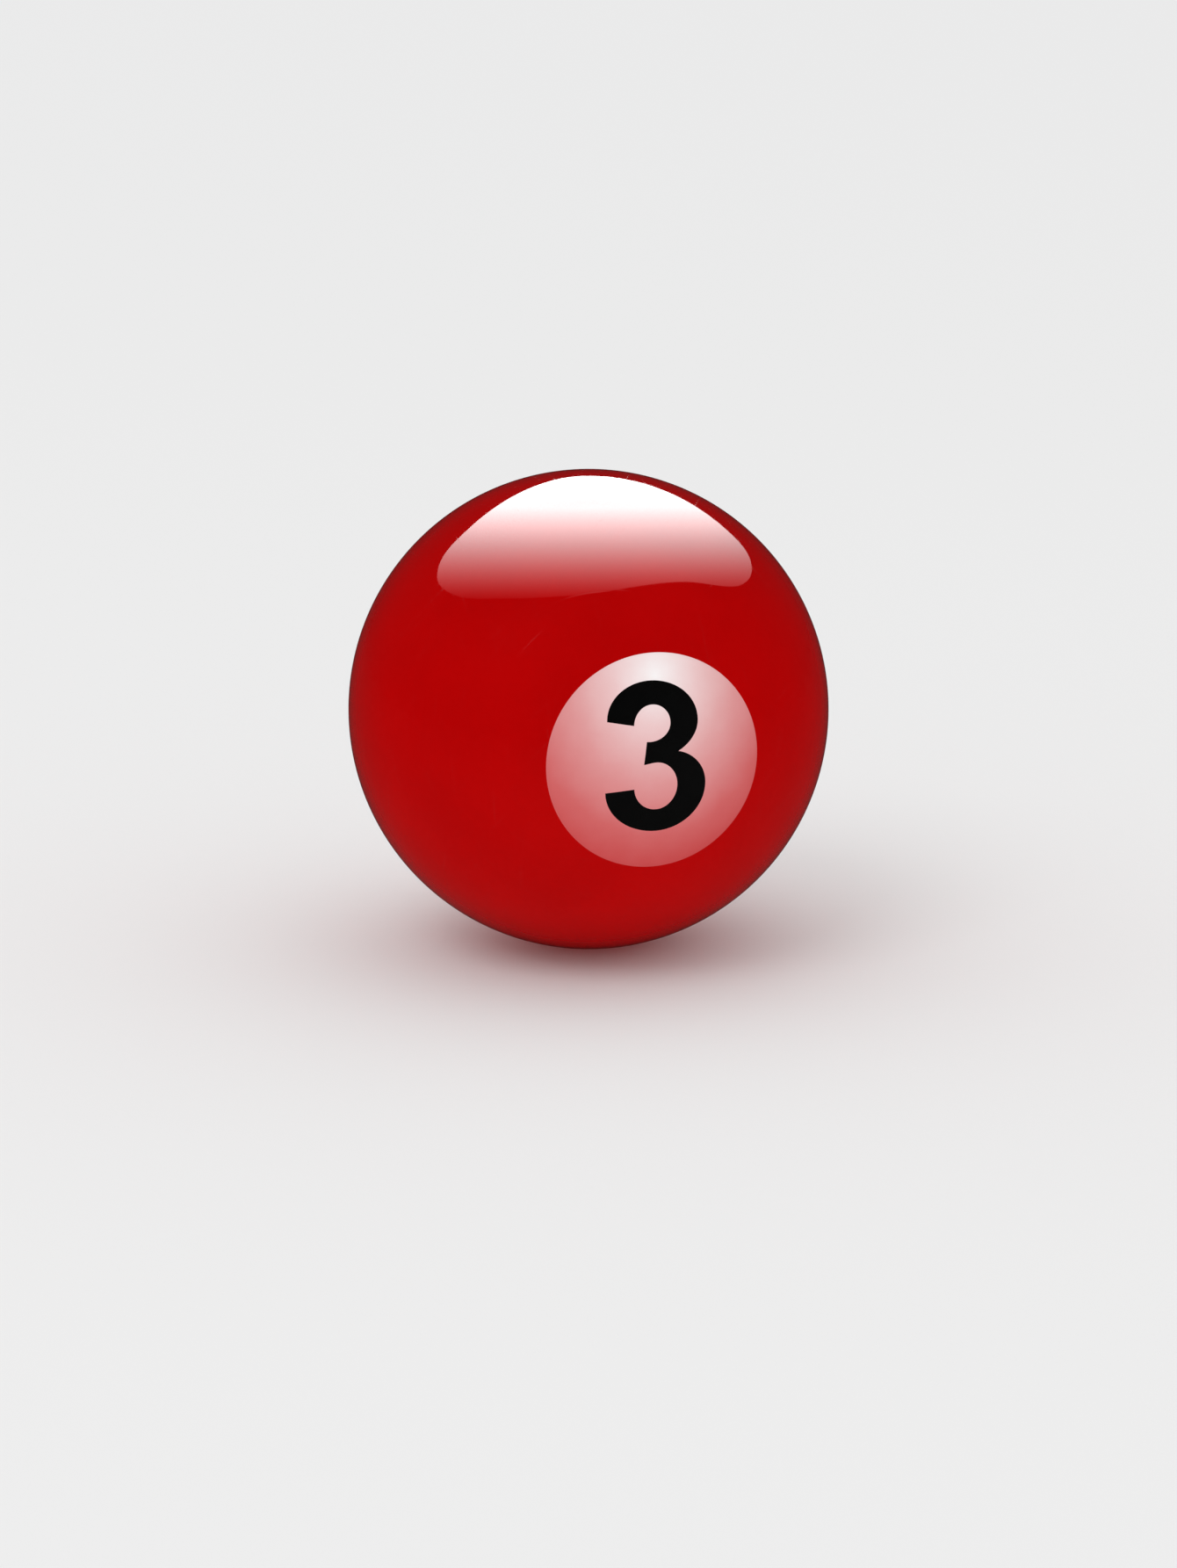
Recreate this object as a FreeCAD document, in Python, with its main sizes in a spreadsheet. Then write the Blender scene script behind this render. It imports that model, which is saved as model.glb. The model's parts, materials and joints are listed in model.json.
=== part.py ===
import FreeCAD, Part
import math
import os
import Sketcher
from FreeCAD import Placement, Rotation, Vector

# A numbered pool ball: a solid cast-resin ball with a white number disc let into each end of one
# diameter, and a black numeral 3 let into each disc. The discs and numerals are cast pieces of
# their own, bonded in flush, so the ground and polished sphere runs over all five without a step.
#
# Frame: millimetres, origin at the ball's centre, +Z up. The number axis is Y: the front disc
# faces -Y and the back disc +Y, and both numerals stand upright along +Z.

DIMENSIONS = {
    "ball_diameter": (57.15, "regulation American pool ball, 2 1/4 in"),
    "disc_diameter": (25.4, "white number disc, straight-sided"),
    "disc_depth": (7.5, "from the ball's surface on the number axis to the disc's flat back"),
    "disc_back_radius": (0.8, "rounding between the disc's side and its back"),
    "numeral_height": (17.7, "overall height of the numeral"),
    "numeral_rise": (0.9, "numeral's middle above the disc's middle"),
    "numeral_across": (-0.3, "numeral's middle to its reader's right of the disc's middle"),
    "numeral_depth": (4.2, "from the ball's surface on the number axis to the numeral's flat back"),
    "trim_margin": (2.0, "how far the numeral's blank stands out of the ball before grinding"),
}

# The numeral's outline, clockwise from the upper terminal's outer corner, as its reader sees it.
# Each point is (across, up, heading in, heading out) on a grid in which the numeral is 100 high,
# with its middle at 0, 0. Headings are in degrees, anticlockwise from straight across, and an
# edge between two points with no heading is straight.
OUTLINE_HEIGHT = 100.0
NUMERAL_OUTLINE = [
    (-32.0, 25.0, None, 88.0),  # upper terminal, outer corner
    (-2.0, 50.0, 0.0, 0.0),  # crown
    (29.0, 24.0, -90.0, -90.0),  # upper bowl, right
    (14.7, 4.0, -153.0, -13.0),  # waist
    (34.0, -19.5, -90.0, -90.0),  # lower bowl, right
    (0.7, -50.0, 180.0, 180.0),  # foot
    (-33.7, -22.0, 93.0, None),  # lower terminal, outer corner
    (-15.0, -20.0, None, -86.0),  # lower terminal, inner corner
    (-0.2, -34.5, 0.0, 0.0),  # lower counter, bottom
    (14.0, -18.5, 90.0, 90.0),  # lower counter, right
    (-0.4, -2.6, 180.0, 180.0),  # lower counter, top
    (-8.8, -3.8, 187.0, None),  # tongue, lower corner
    (-6.7, 11.3, None, -6.0),  # tongue, upper corner
    (9.7, 23.5, 90.0, 90.0),  # upper counter, right
    (-1.9, 35.0, 180.0, 180.0),  # upper counter, top
    (-14.7, 22.0, -94.0, None),  # upper terminal, inner corner
]

ENDS = {"front": 0.0, "back": 180.0}  # each number end, and its turn about +Z
START, END, CENTRE = 1, 2, 3  # a sketch curve's points, as Sketcher numbers them
ORIGIN = (-1, START)  # a sketch's own origin
NUMBER_AXIS = -2  # a sketch's vertical axis, which lies along the number axis
PLACE_TOLERANCE = 1e-6  # millimetres
VOLUME_TOLERANCE = 0.5  # cubic millimetres


def make_sheet(doc):
    """The spreadsheet that holds the driving dimensions."""
    sheet = doc.addObject("Spreadsheet::Sheet", "Sheet")
    for row, (name, (value, note)) in enumerate(DIMENSIONS.items(), start=1):
        sheet.set(f"A{row}", name)
        sheet.set(f"B{row}", str(value))
        sheet.set(f"C{row}", note)
        sheet.setAlias(f"B{row}", name)
    doc.recompute()
    return sheet


def make_body(doc, label):
    body = doc.addObject("PartDesign::Body", label)
    body.Label = label
    return body


def add_sketch(body, name, plane):
    """An empty sketch on one of the body's own origin planes."""
    sketch = body.newObject("Sketcher::SketchObject", name)
    support = next(o for o in body.Origin.OriginFeatures if o.Role == plane)
    sketch.AttachmentSupport = (support, [""])
    sketch.MapMode = "FlatFace"
    return sketch


def bind(sketch, name, kind, *geometry_and_value, expression):
    """Adds a dimension to a sketch and drives it from the sheet."""
    index = sketch.addConstraint(Sketcher.Constraint(kind, *geometry_and_value))
    sketch.renameConstraint(index, name)
    sketch.setExpression(f"Constraints.{name}", expression)


def join_in_a_loop(sketch, ends):
    """Makes each curve's end coincide with the next one's start. ends: (curve, start, end)."""
    for (curve, _, end), (following, start, _) in zip(ends, ends[1:] + ends[:1]):
        sketch.addConstraint(Sketcher.Constraint("Coincident", curve, end, following, start))


def revolve(body, kind, name, sketch):
    """A full turn of the sketch about its vertical axis, which is the number axis."""
    feature = body.newObject(kind, name)
    feature.Profile = sketch
    feature.ReferenceAxis = (sketch, ["V_Axis"])
    feature.Angle = 360.0
    return feature


def ball_radius(sheet):
    return sheet.get("ball_diameter") / 2


def rim(sheet):
    """Distance from the number axis, and from the ball's middle, of a disc's rim."""
    out = sheet.get("disc_diameter") / 2
    return out, math.sqrt(ball_radius(sheet) ** 2 - out**2)


def seat(sheet):
    """Distance of a disc's flat back from the ball's middle."""
    return ball_radius(sheet) - sheet.get("disc_depth")


def round_back_edges(body, feature, sheet, places):
    """Rounds the circular edges where a disc's side meets its back, at these Y places."""
    radius = sheet.get("disc_diameter") / 2
    found = []
    for number, edge in enumerate(feature.Shape.Edges, start=1):
        if edge.Degenerated or not isinstance(edge.Curve, Part.Circle):
            continue
        circle = edge.Curve
        at_back = any(abs(circle.Center.y - place) < PLACE_TOLERANCE for place in places)
        if at_back and abs(circle.Radius - radius) < PLACE_TOLERANCE:
            found.append(f"Edge{number}")
    fillet = body.newObject("PartDesign::Fillet", f"{body.Label}_back_radius")
    fillet.Base = (feature, found)
    fillet.setExpression("Radius", "Sheet.disc_back_radius")
    body.Tip = fillet
    return fillet


def make_ball_body(doc, sheet):
    """The red ball, turned about the number axis, with a blind seat for a disc at each end."""
    body = make_body(doc, "ball_body")
    sketch = add_sketch(body, "ball_body_profile", "XY_Plane")
    radius = ball_radius(sheet)
    out, rim_y = rim(sheet)
    seat_y = seat(sheet)
    turn = math.atan2(rim_y, out)
    sphere = Part.Circle(Vector(0, 0, 0), Vector(0, 0, 1), radius)
    axis, floor, wall, outside, low_wall, low_floor = sketch.addGeometry(
        [
            Part.LineSegment(Vector(0, -seat_y, 0), Vector(0, seat_y, 0)),
            Part.LineSegment(Vector(0, seat_y, 0), Vector(out, seat_y, 0)),
            Part.LineSegment(Vector(out, seat_y, 0), Vector(out, rim_y, 0)),
            Part.ArcOfCircle(sphere, -turn, turn),
            Part.LineSegment(Vector(out, -rim_y, 0), Vector(out, -seat_y, 0)),
            Part.LineSegment(Vector(out, -seat_y, 0), Vector(0, -seat_y, 0)),
        ]
    )
    join_in_a_loop(
        sketch,
        [
            (axis, START, END),
            (floor, START, END),
            (wall, START, END),
            (outside, END, START),
            (low_wall, START, END),
            (low_floor, START, END),
        ],
    )
    for line in (floor, low_floor):
        sketch.addConstraint(Sketcher.Constraint("Horizontal", line))
    for line in (wall, low_wall):
        sketch.addConstraint(Sketcher.Constraint("Vertical", line))
    sketch.addConstraint(Sketcher.Constraint("Coincident", outside, CENTRE, *ORIGIN))
    sketch.addConstraint(Sketcher.Constraint("PointOnObject", axis, START, NUMBER_AXIS))
    sketch.addConstraint(Sketcher.Constraint("Symmetric", axis, START, axis, END, *ORIGIN))
    half_ball = "Sheet.ball_diameter / 2"
    half_disc = "Sheet.disc_diameter / 2"
    bind(sketch, "sphere", "Radius", outside, radius, expression=half_ball)
    for name, line in (("wall", wall), ("low_wall", low_wall)):
        bind(sketch, name, "DistanceX", *ORIGIN, line, START, out, expression=half_disc)
    span = "Sheet.ball_diameter - 2 * Sheet.disc_depth"
    bind(sketch, "web", "DistanceY", axis, START, axis, END, 2 * seat_y, expression=span)
    doc.recompute()
    turned = revolve(body, "PartDesign::Revolution", "ball_body_turned", sketch)
    doc.recompute()
    round_back_edges(body, turned, sheet, (seat_y, -seat_y))
    return body


def handle_lengths(chord, leaving, arriving):
    """How far a curve's two handles reach, for it to turn smoothly by these angles off its
    chord: John Hobby's rule for pen strokes."""
    sl, cl = math.sin(leaving), math.cos(leaving)
    sa, ca = math.sin(arriving), math.cos(arriving)
    swing = math.sqrt(2) * (sl - sa / 16) * (sa - sl / 16) * (cl - ca)
    near, far = (math.sqrt(5) - 1) / 2, (3 - math.sqrt(5)) / 2
    return (
        chord * (2 + swing) / (1 + near * cl + far * ca) / 3,
        chord * (2 - swing) / (1 + near * ca + far * cl) / 3,
    )


def outline_curve(start, end, scale):
    """One edge of the numeral's outline, in millimetres."""
    a = Vector(start[0], start[1], 0) * scale
    b = Vector(end[0], end[1], 0) * scale
    if start[3] is None or end[2] is None:
        return Part.LineSegment(a, b)
    chord = b - a
    straight = math.atan2(chord.y, chord.x)
    out, into = math.radians(start[3]), math.radians(end[2])
    leaving = math.remainder(out - straight, math.tau)
    arriving = math.remainder(straight - into, math.tau)
    reach_a, reach_b = handle_lengths(chord.Length, leaving, arriving)
    curve = Part.BezierCurve()
    curve.setPoles(
        [
            a,
            a + Vector(math.cos(out), math.sin(out), 0) * reach_a,
            b - Vector(math.cos(into), math.sin(into), 0) * reach_b,
            b,
        ]
    )
    return curve.toBSpline()


def add_numeral_sketch(body, name, sheet):
    """The numeral's outline, on a plane across the number axis at the numeral's back."""
    sketch = add_sketch(body, name, "XZ_Plane")
    sketch.setExpression("AttachmentOffset.Base.x", "Sheet.numeral_across")
    sketch.setExpression("AttachmentOffset.Base.y", "Sheet.numeral_rise")
    back = "Sheet.ball_diameter / 2 - Sheet.numeral_depth"
    sketch.setExpression("AttachmentOffset.Base.z", back)
    scale = sheet.get("numeral_height") / OUTLINE_HEIGHT
    corners = NUMERAL_OUTLINE + NUMERAL_OUTLINE[:1]
    edges = [outline_curve(a, b, scale) for a, b in zip(corners, corners[1:])]
    curves = list(sketch.addGeometry(edges))
    join_in_a_loop(sketch, [(curve, START, END) for curve in curves])
    return sketch


def make_number_disc(doc, sheet, end, turn):
    """A white disc: its crown is part of the ball's sphere, its side is straight and its back is
    flat, and the numeral is let into its crown."""
    body = make_body(doc, f"number_disc_{end}")
    sketch = add_sketch(body, f"number_disc_{end}_profile", "XY_Plane")
    radius = ball_radius(sheet)
    out, rim_y = rim(sheet)
    seat_y = seat(sheet)
    sphere = Part.Circle(Vector(0, 0, 0), Vector(0, 0, 1), radius)
    axis, back, side, crown = sketch.addGeometry(
        [
            Part.LineSegment(Vector(0, -radius, 0), Vector(0, -seat_y, 0)),
            Part.LineSegment(Vector(0, -seat_y, 0), Vector(out, -seat_y, 0)),
            Part.LineSegment(Vector(out, -seat_y, 0), Vector(out, -rim_y, 0)),
            Part.ArcOfCircle(sphere, -math.pi / 2, -math.atan2(rim_y, out)),
        ]
    )
    join_in_a_loop(
        sketch,
        [(axis, START, END), (back, START, END), (side, START, END), (crown, END, START)],
    )
    sketch.addConstraint(Sketcher.Constraint("Horizontal", back))
    sketch.addConstraint(Sketcher.Constraint("Vertical", side))
    sketch.addConstraint(Sketcher.Constraint("Coincident", crown, CENTRE, *ORIGIN))
    sketch.addConstraint(Sketcher.Constraint("PointOnObject", axis, START, NUMBER_AXIS))
    sketch.addConstraint(Sketcher.Constraint("PointOnObject", axis, END, NUMBER_AXIS))
    half_ball = "Sheet.ball_diameter / 2"
    half_disc = "Sheet.disc_diameter / 2"
    depth = "Sheet.disc_depth"
    thick = sheet.get("disc_depth")
    bind(sketch, "crown", "Radius", crown, radius, expression=half_ball)
    bind(sketch, "side", "DistanceX", *ORIGIN, side, START, out, expression=half_disc)
    bind(sketch, "depth", "DistanceY", axis, START, axis, END, thick, expression=depth)
    doc.recompute()
    turned = revolve(body, "PartDesign::Revolution", f"number_disc_{end}_turned", sketch)
    doc.recompute()
    blank = round_back_edges(body, turned, sheet, (-seat_y,))
    doc.recompute()
    recess = body.newObject("PartDesign::Pocket", f"number_disc_{end}_recess")
    recess.Profile = add_numeral_sketch(body, f"number_disc_{end}_outline", sheet)
    recess.Reversed = True  # outwards, from the recess floor through the crown
    recess.setExpression("Length", "Sheet.numeral_depth + Sheet.trim_margin")
    body.Tip = recess
    doc.recompute()
    if blank.Shape.Volume - recess.Shape.Volume < VOLUME_TOLERANCE:
        raise RuntimeError(f"{body.Label}: the recess for the numeral cut nothing")
    body.Placement = Placement(Vector(0, 0, 0), Rotation(Vector(0, 0, 1), turn))
    return body


def make_numeral(doc, sheet, end, turn):
    """A black numeral: a prism of its outline, ground down to the ball's sphere."""
    body = make_body(doc, f"numeral_{end}")
    blank = body.newObject("PartDesign::Pad", f"numeral_{end}_blank")
    blank.Profile = add_numeral_sketch(body, f"numeral_{end}_outline", sheet)
    blank.setExpression("Length", "Sheet.numeral_depth + Sheet.trim_margin")
    doc.recompute()

    sketch = add_sketch(body, f"numeral_{end}_grind_profile", "XY_Plane")
    radius = ball_radius(sheet)
    out, rim_y = rim(sheet)
    clear_y = radius + 2 * sheet.get("trim_margin")
    sphere = Part.Circle(Vector(0, 0, 0), Vector(0, 0, 1), radius)
    axis, crown, side, top = sketch.addGeometry(
        [
            Part.LineSegment(Vector(0, -clear_y, 0), Vector(0, -radius, 0)),
            Part.ArcOfCircle(sphere, -math.pi / 2, -math.atan2(rim_y, out)),
            Part.LineSegment(Vector(out, -rim_y, 0), Vector(out, -clear_y, 0)),
            Part.LineSegment(Vector(out, -clear_y, 0), Vector(0, -clear_y, 0)),
        ]
    )
    join_in_a_loop(
        sketch,
        [(axis, START, END), (crown, START, END), (side, START, END), (top, START, END)],
    )
    sketch.addConstraint(Sketcher.Constraint("Horizontal", top))
    sketch.addConstraint(Sketcher.Constraint("Vertical", side))
    sketch.addConstraint(Sketcher.Constraint("Coincident", crown, CENTRE, *ORIGIN))
    sketch.addConstraint(Sketcher.Constraint("PointOnObject", axis, START, NUMBER_AXIS))
    sketch.addConstraint(Sketcher.Constraint("PointOnObject", axis, END, NUMBER_AXIS))
    half_ball = "Sheet.ball_diameter / 2"
    half_disc = "Sheet.disc_diameter / 2"
    stock = "2 * Sheet.trim_margin"
    proud = 2 * sheet.get("trim_margin")
    bind(sketch, "crown", "Radius", crown, radius, expression=half_ball)
    bind(sketch, "side", "DistanceX", *ORIGIN, side, START, out, expression=half_disc)
    bind(sketch, "stock", "DistanceY", axis, START, axis, END, proud, expression=stock)
    doc.recompute()
    ground = revolve(body, "PartDesign::Groove", f"numeral_{end}_ground", sketch)
    body.Tip = ground
    doc.recompute()
    if blank.Shape.Volume - ground.Shape.Volume < VOLUME_TOLERANCE:
        raise RuntimeError(f"{body.Label}: grinding to the sphere cut nothing")
    body.Placement = Placement(Vector(0, 0, 0), Rotation(Vector(0, 0, 1), turn))
    return body


def check(doc, sheet, bodies):
    """Every object recomputed, every piece one valid solid, and together they fill the ball."""
    for found in doc.Objects:
        if "Invalid" in found.State or "Error" in found.State:
            raise RuntimeError(f"{found.Label} is {found.State}")
    for body in bodies:
        shape = body.Shape
        if shape.isNull() or not shape.isValid() or len(shape.Solids) != 1:
            raise RuntimeError(f"{body.Label} isn't one valid solid")
    total = sum(body.Shape.Volume for body in bodies)
    ball = math.pi * sheet.get("ball_diameter") ** 3 / 6
    if abs(total - ball) > VOLUME_TOLERANCE:
        raise RuntimeError(f"the pieces hold {total:.2f} mm3 and the ball {ball:.2f} mm3")


def main():
    doc = FreeCAD.newDocument("pool_ball")
    sheet = make_sheet(doc)
    bodies = [make_ball_body(doc, sheet)]
    for end, turn in ENDS.items():
        bodies.append(make_number_disc(doc, sheet, end, turn))
        bodies.append(make_numeral(doc, sheet, end, turn))
    doc.recompute()
    check(doc, sheet, bodies)
    os.makedirs("parts", exist_ok=True)
    for body in bodies:
        body.Shape.exportStep(f"parts/{body.Label}.step")
        print(f"{body.Label}: {body.Shape.Volume:.2f} mm3")


main()
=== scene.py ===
"""The looks of a numbered pool ball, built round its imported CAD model.

Everything is in metres in the model's own frame: the origin is the ball's centre, +Z is up and
the number discs' shared axis is Y, with the front disc facing -Y.
"""

import json
import math

import bmesh
import bpy
from mathutils import Matrix, Vector
from mathutils.geometry import delaunay_2d_cdt, interpolate_bezier

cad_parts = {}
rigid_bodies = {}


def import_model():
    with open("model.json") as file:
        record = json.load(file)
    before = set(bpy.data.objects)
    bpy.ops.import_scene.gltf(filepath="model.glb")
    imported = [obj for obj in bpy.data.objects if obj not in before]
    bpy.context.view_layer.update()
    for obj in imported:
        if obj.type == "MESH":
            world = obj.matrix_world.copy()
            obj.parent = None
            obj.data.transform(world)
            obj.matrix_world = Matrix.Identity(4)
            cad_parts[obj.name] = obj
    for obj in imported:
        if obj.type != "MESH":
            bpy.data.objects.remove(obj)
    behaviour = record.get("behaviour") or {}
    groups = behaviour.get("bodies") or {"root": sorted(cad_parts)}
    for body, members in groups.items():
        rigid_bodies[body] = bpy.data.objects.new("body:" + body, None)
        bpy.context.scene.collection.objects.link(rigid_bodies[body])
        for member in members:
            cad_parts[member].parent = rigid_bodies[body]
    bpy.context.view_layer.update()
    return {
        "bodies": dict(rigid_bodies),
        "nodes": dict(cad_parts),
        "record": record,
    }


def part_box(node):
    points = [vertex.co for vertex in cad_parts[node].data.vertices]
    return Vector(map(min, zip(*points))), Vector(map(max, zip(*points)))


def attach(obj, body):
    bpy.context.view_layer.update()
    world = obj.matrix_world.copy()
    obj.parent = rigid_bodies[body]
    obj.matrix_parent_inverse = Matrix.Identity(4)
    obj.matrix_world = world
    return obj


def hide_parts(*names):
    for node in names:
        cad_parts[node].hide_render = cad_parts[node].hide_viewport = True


MM = 0.001
WHITE = (1.0, 1.0, 1.0)

# The meshes
TURN_STEPS = 240  # segments round the number axis
ARC_STEPS = 150  # steps along the sphere from one disc's rim to the other's
FILLET_STEPS = 6
CAP_SPACING = 0.6 * MM  # between the points of a disc's or a numeral's crown
CLEAR_OF_OUTLINE = 0.3  # of the spacing: nearer points than this are left out of the crown
WELD = 0.0001 * MM
SMOOTH_TURN = math.radians(20)  # an outline turning by more than this has a corner there

# The camera
FRAME_PIXELS = (1340, 1785)
SENSOR = 36 * MM  # along the picture's long side
LENS = 135 * MM
AZIMUTH, ELEVATION = math.radians(-16.6), math.radians(13.8)
BALL_SHARE = 0.408  # of the picture's width
BALL_RISE = 0.156  # ball diameters above the picture's middle
NEAREST, FARTHEST = 0.01, 20.0  # that the camera sees

# The light
DOME = 0.92  # radiance of the room that lights the ball and the floor
BACKDROP = (0.86, 0.86, 0.865)
REFLECTED_ROOM = 0.018  # radiance of what the gloss shows of the room round the softbox
KEY_WATTS, KEY_SIZE, KEY_PLACE = 12.0, 1.4, Vector((-1.5, -1.2, 2.2))
RESIN_IOR = 1.55

# The floor's shade, and its shade in the ball's gloss, where it darkens away from the ball until
# the horizon is lost in the room. It also glows to light the ball's underside.
FLOOR_SHADE, FLOOR_FILL = 0.83, 0.42
FLOOR_GLOSS_NEAR, FLOOR_GLOSS_FAR = 0.08, 0.02
FLOOR_GLOSS_SLOPE = 1.5  # of the line down from the ball's middle to where it is at its lightest
FLOOR_RADIUS, FLOOR_SIDES = 2.4, 96
FLOOR_FADE = 0.35  # how far out it starts to fade

# The softbox over the ball is cut to the outline of its own reflection: (across, up, heading)
# on the ball's picture, in ball radii, with headings in degrees from straight across.
SOFTBOX_DISTANCE = 0.55
SOFTBOX_TOP = [
    (-0.63, 0.55, 90),  # left end
    (-0.5, 0.75, 43),  # left shoulder
    (0.0, 0.97, 0),  # top
    (0.57, 0.75, -42),  # right shoulder
    (0.68, 0.58, -90),  # right end
]
SOFTBOX_FOOT = [
    (-0.63, 0.55, -90),  # left end
    (-0.57, 0.48, -25),  # left corner
    (-0.38, 0.46, 0),  # lowest point
    (0.0, 0.48, 6),  # rising
    (0.4, 0.53, 0),  # crest
    (0.6, 0.51, 0),  # dip
    (0.68, 0.58, 90),  # right end
]
SOFTBOX_DIM, SOFTBOX_FULL = 0.436, 0.838  # heights where its reflection starts and is white
SOFTBOX_CORE, SOFTBOX_GLARE = 0.969, 10.0  # height where its core is brightest, and its radiance there
SOFTBOX_COLUMNS, SOFTBOX_ROWS = 96, 48
CURVE_POINTS = 24  # of a curve from one stop to the next

# The resins' finish. A range is the part of a noise, from 0 to 1, over which an effect sets in.
SCRATCHES = ((25, 12, 0.16), (100, 9, 0.13), (155, 15, 0.2))  # degrees, mm long, mm wide
SCRATCH_TURN = (1.0, 1.7, 0.6)  # shares of those degrees, about X, Y and Z
SCRATCH_RANGE = (0.70, 0.78)
SCRATCH_ROUGHNESS = 0.12
HAZE_SIZE, HAZE_RANGE = 11 * MM, (0.35, 0.75)
RELIEF = 0.004 * MM
RIPPLE_SIZE = 4 * MM
RIPPLE_HEIGHT, SCRATCH_DEPTH = 0.25, 0.12  # shares of the relief
CLOUD_SIZE, FLECK_SIZE, CAST_RANGE = 14 * MM, 0.9 * MM, (0.35, 0.65)
CLOUD_SHARE = 0.75  # of the unevenness, and the rest is flecks
RED_CAST, BLACK_CAST = 0.05, 0.3  # share by which it is darker or lighter in places
RED_GLOSS = (0.02, 0.05)  # roughness where it is clean and where it is hazed
WHITE_GLOSS = BLACK_GLOSS = (0.03, 0.07)

# The white disc's painted highlight and painted shade, in disc radii: an oval spot, whitest in
# its middle above the numeral, turning to the ball's red further off
PAINTED_SHADING_RISE = 0.81
PAINTED_SHADING_NARROWING = 1.22  # height of the oval over its width
PAINTED_SHADING_WHITEST, PAINTED_SHADING_REACH = 0.98, 2.5  # share of white in its middle, and how far off it is all red
PAINTED_SHADING_CLOUD_SIZE, PAINTED_SHADING_CLOUD_RANGE = 3 * MM, (0.3, 0.7)
PAINTED_SHADING_WAVER = 0.03
PAINTED_SHADING_STOPS = 6  # of its colour ramp

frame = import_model()
record = frame["record"]


def placed_radius():
    """The ball's radius, as its table contact states it."""
    contact = next(m for m in record["mounts"] if m["name"] == "table_contact")
    return contact["dims"]["r_mm"] * MM


RADIUS = placed_radius()
BODY = next(iter(frame["bodies"]))


# ---------------------------------------------------------------- shapes read from the CAD model


def vertices(node):
    return [v.co for v in frame["nodes"][node].data.vertices]


def off_axis(point):
    return math.hypot(point.x, point.z)


DISC_RADIUS = max(off_axis(v) for v in vertices("number_disc_front"))
RIM = math.sqrt(RADIUS**2 - DISC_RADIUS**2)  # a disc's rim, from the ball's middle along Y
SEAT = -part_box("number_disc_front")[1].y  # a disc's flat back
NUMERAL_BACK = -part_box("numeral_front")[1].y
FLAT_RADIUS = max(off_axis(v) for v in vertices("number_disc_front") if v.y > -SEAT - WELD)
FILLET = DISC_RADIUS - FLAT_RADIUS


def flat_outline(node, y):
    """The outline of a node's flat face at this y, as (x, z) points in order."""
    mesh = bmesh.new()
    mesh.from_mesh(frame["nodes"][node].data)
    bmesh.ops.remove_doubles(mesh, verts=mesh.verts, dist=WELD)
    flat = {f for f in mesh.faces if all(abs(v.co.y - y) < WELD for v in f.verts)}
    edges = {e for f in flat for e in f.edges if sum(g in flat for g in e.link_faces) == 1}
    start = vertex = next(iter(edges)).verts[0]
    points = []
    while edges:
        points.append(Vector((vertex.co.x, vertex.co.z)))
        edge = next(e for e in vertex.link_edges if e in edges)
        edges.remove(edge)
        vertex = edge.other_vert(vertex)
    if vertex != start:
        raise RuntimeError(f"{node}: its flat face has more than one outline")
    mesh.free()
    return points


def turn_at(points, i):
    before = points[i] - points[i - 1]
    after = points[(i + 1) % len(points)] - points[i]
    return abs(before.angle_signed(after))


def refined(points):
    """The outline with a point added in the middle of each edge, on a smooth curve through its
    neighbours except beside a corner."""
    count = len(points)
    smooth = [turn_at(points, i) < SMOOTH_TURN for i in range(count)]
    result = []
    for i, point in enumerate(points):
        following = points[(i + 1) % count]
        middle = (point + following) / 2
        if smooth[i] and smooth[(i + 1) % count]:
            outer = (points[i - 1] + points[(i + 2) % count]) / 2
            middle += (middle - outer) / 8
        result += [point, middle]
    return result


# ---------------------------------------------------------------- mesh making


def on_sphere(point):
    """The point of the front of the ball at this (x, z)."""
    x, z = point
    return Vector((x, -math.sqrt(RADIUS**2 - x * x - z * z), z))


def at_depth(point, y):
    return Vector((point[0], -y, point[1]))


def circle(radius, count):
    return [
        Vector((radius * math.cos(turn), radius * math.sin(turn)))
        for turn in (math.tau * i / count for i in range(count))
    ]


def turned(profile):
    """Vertices and faces of (radius, y) points turned about the number axis."""
    points, faces, rings = [], [], []
    for radius, y in profile:
        ring = circle(radius, TURN_STEPS) if radius > WELD else [Vector((0, 0))]
        rings.append(range(len(points), len(points) + len(ring)))
        points += [Vector((x, y, z)) for x, z in ring]
    for near, far in zip(rings, rings[1:]):
        for i in range(TURN_STEPS):
            corners = [ring[j % len(ring)] for ring, j in
                       ((near, i), (near, i + 1), (far, i + 1), (far, i))]
            faces.append(list(dict.fromkeys(corners)))
    return points, faces


def walls(loop, other):
    """Vertices and faces that join two loops of as many points."""
    count = len(loop)
    faces = [(i, (i + 1) % count, count + (i + 1) % count, count + i) for i in range(count)]
    return list(loop) + list(other), faces


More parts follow.
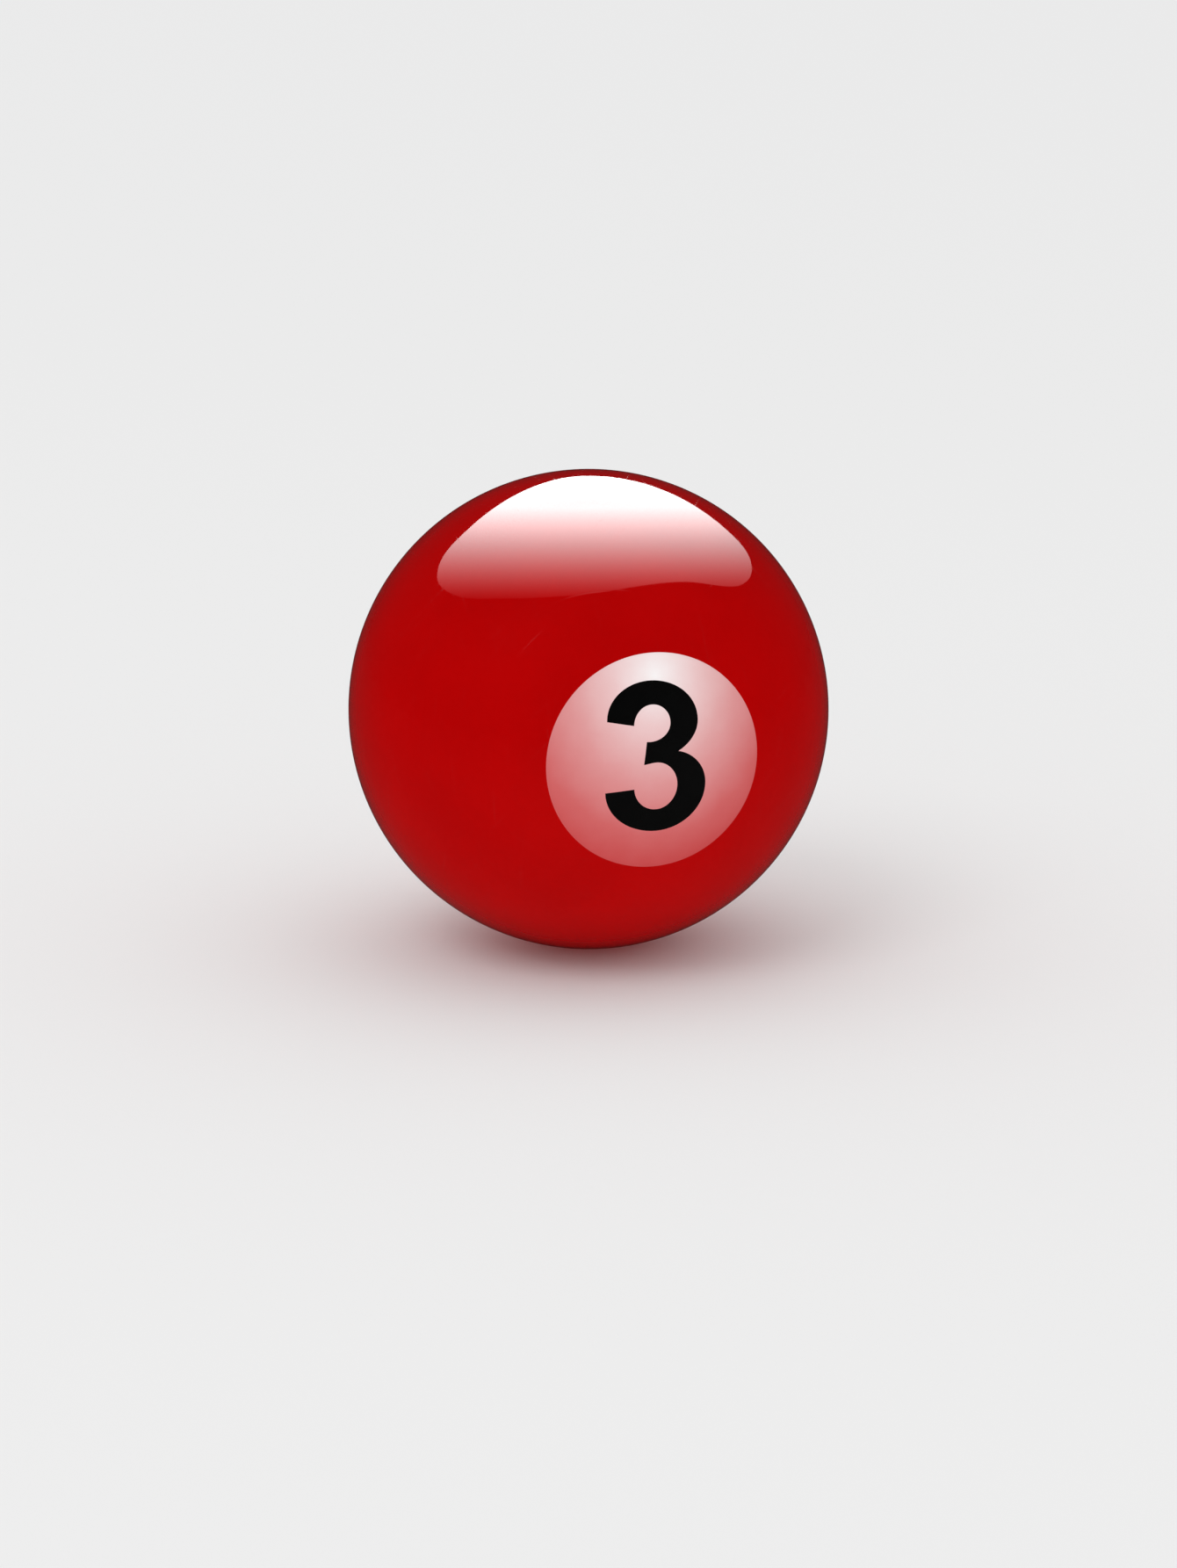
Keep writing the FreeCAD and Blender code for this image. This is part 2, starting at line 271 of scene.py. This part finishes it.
def make_piece(name, *surfaces, turn=0.0):
    """A closed piece from its surfaces, with the exact normals of the sphere where it is part
    of the ball's surface."""
    points, faces = [], []
    for some_points, some_faces in surfaces:
        faces += [[i + len(points) for i in face] for face in some_faces]
        points += some_points
    mesh = bpy.data.meshes.new(name)
    mesh.from_pydata(points, [], faces)
    shell = bmesh.new()
    shell.from_mesh(mesh)
    bmesh.ops.remove_doubles(shell, verts=shell.verts, dist=WELD)
    bmesh.ops.recalc_face_normals(shell, faces=shell.faces)
    if any(not edge.is_manifold for edge in shell.edges):
        raise RuntimeError(f"{name} isn't closed")
    bmesh.ops.transform(shell, verts=shell.verts, matrix=Matrix.Rotation(turn, 4, "Z"))
    shell.to_mesh(mesh)
    shell.free()
    normals = []
    for polygon in mesh.polygons:
        polygon.use_smooth = True
        corners = [mesh.vertices[i].co for i in polygon.vertices]
        outside = all(abs(c.length - RADIUS) < WELD for c in corners)
        normals += [c.normalized() if outside else polygon.normal.copy() for c in corners]
    mesh.normals_split_custom_set(normals)
    piece = bpy.data.objects.new(name, mesh)
    bpy.context.scene.collection.objects.link(piece)
    return piece


def quarter_turn(centre, start, end):
    """Points of a fillet about centre, from one angle to another, in degrees."""
    for step in range(FILLET_STEPS + 1):
        angle = math.radians(start + (end - start) * step / FILLET_STEPS)
        yield centre[0] + FILLET * math.cos(angle), centre[1] + FILLET * math.sin(angle)


def make_ball():
    """The red ball: its sphere from rim to rim, and the blind seat for a disc at each end."""
    start = math.atan2(-RIM, DISC_RADIUS)
    seat = [(0.0, -SEAT), *quarter_turn((FLAT_RADIUS, -SEAT - FILLET), 90, 0)]
    arc = [start - 2 * start * step / ARC_STEPS for step in range(ARC_STEPS + 1)]
    outside = [(RADIUS * math.cos(a), RADIUS * math.sin(a)) for a in arc]
    other_seat = [(radius, -y) for radius, y in reversed(seat)]
    return make_piece("ball_red", turned(seat + outside + other_seat))


def inside(point, loop):
    """Whether a point lies inside a closed loop."""
    x, z = point
    crossings = 0
    for a, b in zip(loop, loop[1:] + loop[:1]):
        if (a[1] > z) != (b[1] > z) and x < a[0] + (z - a[1]) * (b[0] - a[0]) / (b[1] - a[1]):
            crossings += 1
    return crossings % 2 == 1


def crown_points(outline):
    """Points that fill a disc's crown in rings, clear of the numeral's outline and the rim."""
    rings = round(DISC_RADIUS / CAP_SPACING)
    points = [Vector((0, 0))]
    for ring in range(1, rings):
        radius = DISC_RADIUS * ring / rings
        points += circle(radius, round(math.tau * radius / CAP_SPACING))
    clear = CAP_SPACING * CLEAR_OF_OUTLINE
    return [p for p in points if all((p - q).length > clear for q in outline)]


def crown_mesh(outline):
    """The points of a disc's crown and its triangles, those of the disc and of the numeral."""
    rim = circle(DISC_RADIUS, TURN_STEPS)
    points = rim + outline + crown_points(outline)
    first = len(rim)
    edges = [(i, (i + 1) % first) for i in range(first)]
    edges += [(first + i, first + (i + 1) % len(outline)) for i in range(len(outline))]
    points, _, triangles, *_ = delaunay_2d_cdt(points, edges, [], 0, WELD)
    disc, numeral = [], []
    for triangle in triangles:
        middle = sum((points[i] for i in triangle), Vector((0, 0))) / 3
        (numeral if inside(middle, outline) else disc).append(triangle)
    return points, disc, numeral


def make_number_end(end, turn, outline, crown):
    """A white disc and the black numeral let into it."""
    points, disc_faces, numeral_faces = crown
    on_ball = [on_sphere(p) for p in points]
    at_back = [at_depth(p, NUMERAL_BACK) for p in points]
    recess = walls([on_sphere(p) for p in outline], [at_depth(p, NUMERAL_BACK) for p in outline])
    floor = (at_back, numeral_faces)
    side = [(DISC_RADIUS, -RIM), *quarter_turn((FLAT_RADIUS, -SEAT - FILLET), 0, 90), (0.0, -SEAT)]
    disc = make_piece(
        f"disc_white_{end}", (on_ball, disc_faces), recess, floor, turned(side), turn=turn
    )
    numeral = make_piece(
        f"numeral_black_{end}", (on_ball, numeral_faces), recess, floor, turn=turn
    )
    return disc, numeral


# ---------------------------------------------------------------- materials


def colour_of(slot):
    """A record slot's own colour, linear."""
    return next(m["base_color"] for m in record["materials"] if m["slot"] == slot)[:3]


def encoded(value):
    """A linear value on the eye's scale, as a screen encodes it."""
    return 12.92 * value if value <= 0.0031308 else 1.055 * value ** (1 / 2.4) - 0.055


def decoded(value):
    return value / 12.92 if value <= 0.04045 else ((value + 0.055) / 1.055) ** 2.4


def between(a, b, share):
    """The colour that looks this share of the way from a to b."""
    return [decoded(encoded(p) + (encoded(q) - encoded(p)) * share) for p, q in zip(a, b)]


def shade(colour, factor):
    return [channel * factor for channel in colour]


class Nodes:
    """A node tree being built, for a material or for the world."""

    def __init__(self, tree):
        self.tree = tree
        tree.nodes.clear()

    def add(self, kind, values=None, **settings):
        """Adds a node. values maps a socket's name or number to a value or to a socket."""
        node = self.tree.nodes.new(f"ShaderNode{kind}")
        for name, setting in settings.items():
            setattr(node, name, setting)
        for name, value in (values or {}).items():
            if isinstance(value, bpy.types.NodeSocket):
                self.tree.links.new(value, node.inputs[name])
            else:
                node.inputs[name].default_value = value
        return node

    def math(self, operation, *values):
        return self.add("Math", dict(enumerate(values)), operation=operation).outputs[0]

    def length(self, vector):
        return self.add("VectorMath", {0: vector}, operation="LENGTH").outputs["Value"]

    def noise(self, coordinates, scale, detail=2.0, roughness=0.5):
        node = self.add(
            "TexNoise",
            {"Vector": coordinates, "Scale": scale, "Detail": detail, "Roughness": roughness},
        )
        return node.outputs["Fac"]

    def spread(self, value, low, high, to_low, to_high):
        """Maps low..high to to_low..to_high, and no further."""
        names = ("Value", "From Min", "From Max", "To Min", "To Max")
        node = self.add("MapRange", dict(zip(names, (value, low, high, to_low, to_high))))
        return node.outputs["Result"]

    def mix(self, share, a, b):
        node = self.add("Mix", {0: share, 6: a, 7: b}, data_type="RGBA")
        return node.outputs[2]


def opaque(colour):
    return (*colour, 1.0)


def scratches(nodes, coordinates):
    """Hairline polishing marks in several directions, 1 in a mark and 0 between them."""
    marks = None
    for turn, length, width in SCRATCHES:
        rotation = [math.radians(turn * share) for share in SCRATCH_TURN]
        scale = (1 / (length * MM), 1 / (length * MM), 1 / (width * MM))
        turned_to = nodes.add("Mapping", {"Vector": coordinates, "Rotation": rotation})
        stretched = nodes.add("Mapping", {"Vector": turned_to.outputs[0], "Scale": scale})
        lines = nodes.noise(stretched.outputs[0], 1.0, detail=1.0)
        line = nodes.spread(lines, *SCRATCH_RANGE, 0.0, 1.0)
        marks = line if marks is None else nodes.math("MAXIMUM", marks, line)
    return marks


def resin(name, colour_nodes, gloss):
    """Polished cast phenolic resin. colour_nodes makes its colour from object coordinates, and
    gloss is its roughness where it is clean and where handling has hazed it."""
    material = bpy.data.materials.new(name)
    material.use_nodes = True
    nodes = Nodes(material.node_tree)
    coordinates = nodes.add("TexCoord").outputs["Object"]
    marks = scratches(nodes, coordinates)
    haze = nodes.noise(coordinates, 1 / HAZE_SIZE, detail=4.0, roughness=0.6)
    hazed = nodes.spread(haze, *HAZE_RANGE, *gloss)
    roughness = nodes.math("ADD", hazed, nodes.math("MULTIPLY", marks, SCRATCH_ROUGHNESS))
    ripple = nodes.noise(coordinates, 1 / RIPPLE_SIZE, detail=1.0)
    raised = nodes.math("MULTIPLY", ripple, RIPPLE_HEIGHT)
    height = nodes.math("SUBTRACT", raised, nodes.math("MULTIPLY", marks, SCRATCH_DEPTH))
    bump = nodes.add("Bump", {"Height": height, "Strength": 1.0, "Distance": RELIEF})
    shader = nodes.add(
        "BsdfPrincipled",
        {
            "Base Color": colour_nodes(nodes, coordinates),
            "Roughness": roughness,
            "Normal": bump.outputs[0],
            "IOR": RESIN_IOR,
        },
    )
    nodes.add("OutputMaterial", {"Surface": shader.outputs[0]})
    return material


def cast_colour(colour, stray):
    """Resin of one colour, with the faint clouding and flecking of a casting."""

    def build(nodes, coordinates):
        cloud = nodes.noise(coordinates, 1 / CLOUD_SIZE, detail=3.0)
        fleck = nodes.noise(coordinates, 1 / FLECK_SIZE, detail=2.0)
        clouds = nodes.math("MULTIPLY", cloud, CLOUD_SHARE)
        blend = nodes.math("ADD", clouds, nodes.math("MULTIPLY", fleck, 1 - CLOUD_SHARE))
        share = nodes.spread(blend, *CAST_RANGE, 0.0, 1.0)
        darker, lighter = shade(colour, 1 - stray), shade(colour, 1 + stray)
        return nodes.mix(share, opaque(darker), opaque(lighter))

    return build


def white_with_painted_shading(nodes, coordinates):
    """The disc's white, a painted highlight above the numeral, with painted shade in the ball's red
    round it.
    """
    scale = (PAINTED_SHADING_NARROWING / DISC_RADIUS, 0.0, 1.0 / DISC_RADIUS)
    shift = (0.0, 0.0, -PAINTED_SHADING_RISE)
    from_spot = nodes.add("Mapping", {"Vector": coordinates, "Scale": scale, "Location": shift})
    distance = nodes.length(from_spot.outputs[0])
    cloud = nodes.noise(coordinates, 1 / PAINTED_SHADING_CLOUD_SIZE, detail=4.0)
    waver = nodes.spread(cloud, *PAINTED_SHADING_CLOUD_RANGE, -PAINTED_SHADING_WAVER, PAINTED_SHADING_WAVER)
    uneven = nodes.math("ADD", distance, waver)
    # painted shading: white at the spot above the numeral, the ball's red further off
    whiteness = nodes.spread(uneven, 0.0, PAINTED_SHADING_REACH, PAINTED_SHADING_WHITEST, 0.0)
    ramp = nodes.add("ValToRGB", {"Fac": whiteness})
    stops = ramp.color_ramp.elements
    while len(stops) < PAINTED_SHADING_STOPS:
        stops.new(0.5)
    white, red = colour_of("white_resin"), colour_of("red_resin")
    for i, stop in enumerate(stops):
        stop.position = i / (len(stops) - 1)
        stop.color = opaque(between(red, white, stop.position))
    return ramp.outputs["Color"]


def make_resins():
    red = cast_colour(colour_of("red_resin"), RED_CAST)
    black = cast_colour(colour_of("black_resin"), BLACK_CAST)
    return {
        "red_resin": resin("red_resin_polished", red, RED_GLOSS),
        # the white disc's colour carries a painted highlight and painted shade
        "white_resin": resin("white_resin_polished_painted_shading", white_with_painted_shading, WHITE_GLOSS),
        "black_resin": resin("black_resin_polished", black, BLACK_GLOSS),
    }


# ---------------------------------------------------------------- camera


def add_camera():
    """The camera, far enough away for the ball to take its share of the picture's width."""
    data = bpy.data.cameras.new("camera")
    data.lens, data.sensor_width = LENS / MM, SENSOR / MM
    data.clip_start, data.clip_end = NEAREST, FARTHEST
    width = SENSOR * FRAME_PIXELS[0] / FRAME_PIXELS[1]
    half = math.atan(BALL_SHARE * width / 2 / LENS)
    back = Vector((
        math.sin(AZIMUTH) * math.cos(ELEVATION),
        -math.cos(AZIMUTH) * math.cos(ELEVATION),
        math.sin(ELEVATION),
    ))
    turn = back.to_track_quat("Z", "Y").to_matrix().to_4x4()
    eye = back * (RADIUS / math.sin(half))
    tilt = math.atan(2 * BALL_RISE * math.tan(half))
    camera = bpy.data.objects.new("camera", data)
    bpy.context.scene.collection.objects.link(camera)
    bpy.context.scene.camera = camera
    camera.matrix_world = Matrix.Translation(eye) @ turn @ Matrix.Rotation(-tilt, 4, "X")
    return eye, turn.to_3x3(), math.tan(half)


# ---------------------------------------------------------------- the softbox over the ball


def handle_lengths(chord, leaving, arriving):
    """How far a curve's two handles reach, for it to turn smoothly by these angles off its
    chord: John Hobby's rule for pen strokes."""
    sl, cl = math.sin(leaving), math.cos(leaving)
    sa, ca = math.sin(arriving), math.cos(arriving)
    swing = math.sqrt(2) * (sl - sa / 16) * (sa - sl / 16) * (cl - ca)
    near, far = (math.sqrt(5) - 1) / 2, (3 - math.sqrt(5)) / 2
    return (
        chord * (2 + swing) / (1 + near * cl + far * ca) / 3,
        chord * (2 - swing) / (1 + near * ca + far * cl) / 3,
    )


def drawn_curve(stops, count):
    """A smooth curve through (across, up, heading) stops, as count points evenly along it."""
    points = []
    for (ax, ay, out), (bx, by, into) in zip(stops, stops[1:]):
        a, b = Vector((ax, ay)), Vector((bx, by))
        out, into = math.radians(out), math.radians(into)
        chord = b - a
        straight = math.atan2(chord.y, chord.x)
        leaving = math.remainder(out - straight, math.tau)
        arriving = math.remainder(straight - into, math.tau)
        reach_a, reach_b = handle_lengths(chord.length, leaving, arriving)
        handle_a = a + Vector((math.cos(out), math.sin(out))) * reach_a
        handle_b = b - Vector((math.cos(into), math.sin(into))) * reach_b
        points += interpolate_bezier(a, handle_a, handle_b, b, CURVE_POINTS)[:-1]
    points.append(b)
    lengths = [0.0]
    for p, q in zip(points, points[1:]):
        lengths.append(lengths[-1] + (q - p).length)
    even, i = [], 0
    for step in range(count):
        along = lengths[-1] * step / (count - 1)
        while i < len(points) - 2 and lengths[i + 1] < along:
            i += 1
        share = (along - lengths[i]) / (lengths[i + 1] - lengths[i])
        even.append(points[i].lerp(points[i + 1], share))
    return even


def fresnel(cosine):
    """Share of unpolarised light that the resin's surface reflects at this angle."""
    inner = math.sqrt(1 - (1 - cosine**2) / RESIN_IOR**2)
    across = (cosine - RESIN_IOR * inner) / (cosine + RESIN_IOR * inner)
    along = (inner - RESIN_IOR * cosine) / (inner + RESIN_IOR * cosine)
    return (across**2 + along**2) / 2


def climb(value, low, high):
    """How far a value is from low to high, from 0 to 1."""
    return min(max((value - low) / (high - low), 0.0), 1.0)


def veil(colour, share):
    """The light to add to a colour for it to look this share of the way to white: faint light
    takes the colour's own tint, and strong light is white."""
    white = decoded(share)
    return [max(mixed - own, white) for mixed, own in zip(between(colour, WHITE, share), colour)]


def mirrored(eye, turn, slope, point):
    """Where the camera sees the softbox at this point of the ball's picture, and the cosine of
    the angle at which it does."""
    x, y = point
    forward = -eye.normalized()
    across, up = turn.col[0], turn.col[1]
    ray = (forward + (across * x + up * y) * slope).normalized()
    reach = -eye.dot(ray)
    hit = eye + ray * (reach - math.sqrt(reach**2 - eye.length_squared + RADIUS**2))
    normal = hit.normalized()
    away = ray.reflect(normal)
    along = hit.dot(away)
    out = math.sqrt(along**2 - hit.length_squared + SOFTBOX_DISTANCE**2) - along
    return hit + away * out, -ray.dot(normal)


def add_softbox(eye, turn, slope):
    """A curved light panel that only the gloss shows. It is brighter where the ball reflects
    less, so its reflection fades evenly from white at the top to faint at the foot."""
    top = drawn_curve(SOFTBOX_TOP, SOFTBOX_COLUMNS + 1)
    foot = drawn_curve(SOFTBOX_FOOT, SOFTBOX_COLUMNS + 1)
    red = colour_of("red_resin")
    points, glow, faces = [], [], []
    for low, high in zip(foot, top):
        for row in range(SOFTBOX_ROWS + 1):
            place = low.lerp(high, row / SOFTBOX_ROWS)
            point, cosine = mirrored(eye, turn, slope, place)
            light = shade(veil(red, climb(place.y, SOFTBOX_DIM, SOFTBOX_FULL)), 1 / fresnel(cosine))
            core = climb(place.y, SOFTBOX_FULL, SOFTBOX_CORE)
            points.append(point)
            glow += opaque([value + (SOFTBOX_GLARE - value) * core for value in light])
    rows = SOFTBOX_ROWS + 1
    for column in range(SOFTBOX_COLUMNS):
        for row in range(SOFTBOX_ROWS):
            i = column * rows + row
            faces.append((i, i + 1, i + rows + 1, i + rows))
    mesh = bpy.data.meshes.new("softbox")
    mesh.from_pydata(points, [], faces)
    mesh.attributes.new("glow", "FLOAT_COLOR", "POINT").data.foreach_set("color", glow)
    material = bpy.data.materials.new("softbox_glow")
    material.use_nodes = True
    nodes = Nodes(material.node_tree)
    colour = nodes.add("Attribute", attribute_name="glow").outputs["Color"]
    light = nodes.add("Emission", {"Color": colour, "Strength": 1.0})
    nodes.add("OutputMaterial", {"Surface": light.outputs[0]})
    mesh.materials.append(material)
    softbox = bpy.data.objects.new("softbox", mesh)
    bpy.context.scene.collection.objects.link(softbox)
    softbox.visible_camera = softbox.visible_diffuse = softbox.visible_shadow = False
    return softbox


# ---------------------------------------------------------------- stage


def add_floor():
    """A pale floor that the ball stands on. It fades out into the backdrop, and it doesn't show
    from underneath."""
    mesh = bpy.data.meshes.new("floor")
    rim = circle(FLOOR_RADIUS, FLOOR_SIDES)
    mesh.from_pydata([(x, y, -RADIUS) for x, y in rim], [], [range(len(rim))])
    material = bpy.data.materials.new("floor_matte")
    material.use_nodes = True
    nodes = Nodes(material.node_tree)
    coordinates = nodes.add("TexCoord").outputs["Object"]
    foot = nodes.add("VectorMath", {0: coordinates, 1: (1.0, 1.0, 0.0)}, operation="MULTIPLY")
    distance = nodes.length(foot.outputs[0])
    path = nodes.add("LightPath")
    slope = nodes.math("DIVIDE", RADIUS, distance)
    in_gloss = nodes.spread(slope, 0.0, FLOOR_GLOSS_SLOPE, FLOOR_GLOSS_FAR, FLOOR_GLOSS_NEAR)
    seen = nodes.spread(path.outputs["Is Glossy Ray"], 0.0, 1.0, FLOOR_SHADE, in_gloss)
    matte = nodes.add("BsdfDiffuse", {"Color": seen})
    glow = nodes.math("MULTIPLY", path.outputs["Is Diffuse Ray"], FLOOR_FILL)
    fill = nodes.add("Emission", {"Strength": glow})
    lit = nodes.add("AddShader", {0: matte.outputs[0], 1: fill.outputs[0]})
    clear = nodes.add("BsdfTransparent")
    fade = nodes.spread(distance, FLOOR_FADE, FLOOR_RADIUS, 0.0, 1.0)
    underneath = nodes.add("NewGeometry").outputs["Backfacing"]
    surface = nodes.add(
        "MixShader",
        {0: nodes.math("MAXIMUM", fade, underneath), 1: lit.outputs[0], 2: clear.outputs[0]},
    )
    nodes.add("OutputMaterial", {"Surface": surface.outputs[0]})
    mesh.materials.append(material)
    floor = bpy.data.objects.new("floor", mesh)
    bpy.context.scene.collection.objects.link(floor)
    return floor


def add_room():
    """The world: an even white dome for light, a pale backdrop for the camera, and a dim room
    for the gloss, which keeps the resin's colours deep."""
    world = bpy.data.worlds.new("room")
    world.use_nodes = True
    bpy.context.scene.world = world
    nodes = Nodes(world.node_tree)
    path = nodes.add("LightPath")
    dome = nodes.add("Background", {"Color": opaque(WHITE), "Strength": DOME})
    room = nodes.add("Background", {"Color": opaque(WHITE), "Strength": REFLECTED_ROOM})
    backdrop = nodes.add("Background", {"Color": opaque(BACKDROP), "Strength": 1.0})
    lit = nodes.add(
        "MixShader", {0: path.outputs["Is Glossy Ray"], 1: dome.outputs[0], 2: room.outputs[0]}
    )
    seen = nodes.add(
        "MixShader", {0: path.outputs["Is Camera Ray"], 1: lit.outputs[0], 2: backdrop.outputs[0]}
    )
    nodes.add("OutputWorld", {"Surface": seen.outputs[0]})


def add_key_light():
    """A large soft lamp up and to the left, which gives the ball its shadow."""
    data = bpy.data.lights.new("key", "AREA")
    data.energy, data.size = KEY_WATTS, KEY_SIZE
    key = bpy.data.objects.new("key", data)
    bpy.context.scene.collection.objects.link(key)
    key.matrix_world = Matrix.Translation(KEY_PLACE) @ (
        KEY_PLACE.to_track_quat("Z", "Y").to_matrix().to_4x4()
    )
    key.visible_camera = key.visible_glossy = False


# ---------------------------------------------------------------- the scene


def dress(piece, node, material):
    """Stands a piece in for its CAD node, in its slot's finish."""
    piece.data.materials.append(material)
    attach(piece, BODY)
    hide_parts(node)


def build_ball():
    resins = make_resins()
    outline = refined(flat_outline("numeral_front", -NUMERAL_BACK))
    crown = crown_mesh(outline)
    dress(make_ball(), "ball_body", resins["red_resin"])
    for end, turn in (("front", 0.0), ("back", math.pi)):
        disc, numeral = make_number_end(end, turn, outline, crown)
        dress(disc, f"number_disc_{end}", resins["white_resin"])
        dress(numeral, f"numeral_{end}", resins["black_resin"])


def build_stage():
    bpy.context.scene.view_settings.view_transform = "Standard"
    add_room()
    add_key_light()
    add_floor()
    add_softbox(*add_camera())


build_ball()
build_stage()
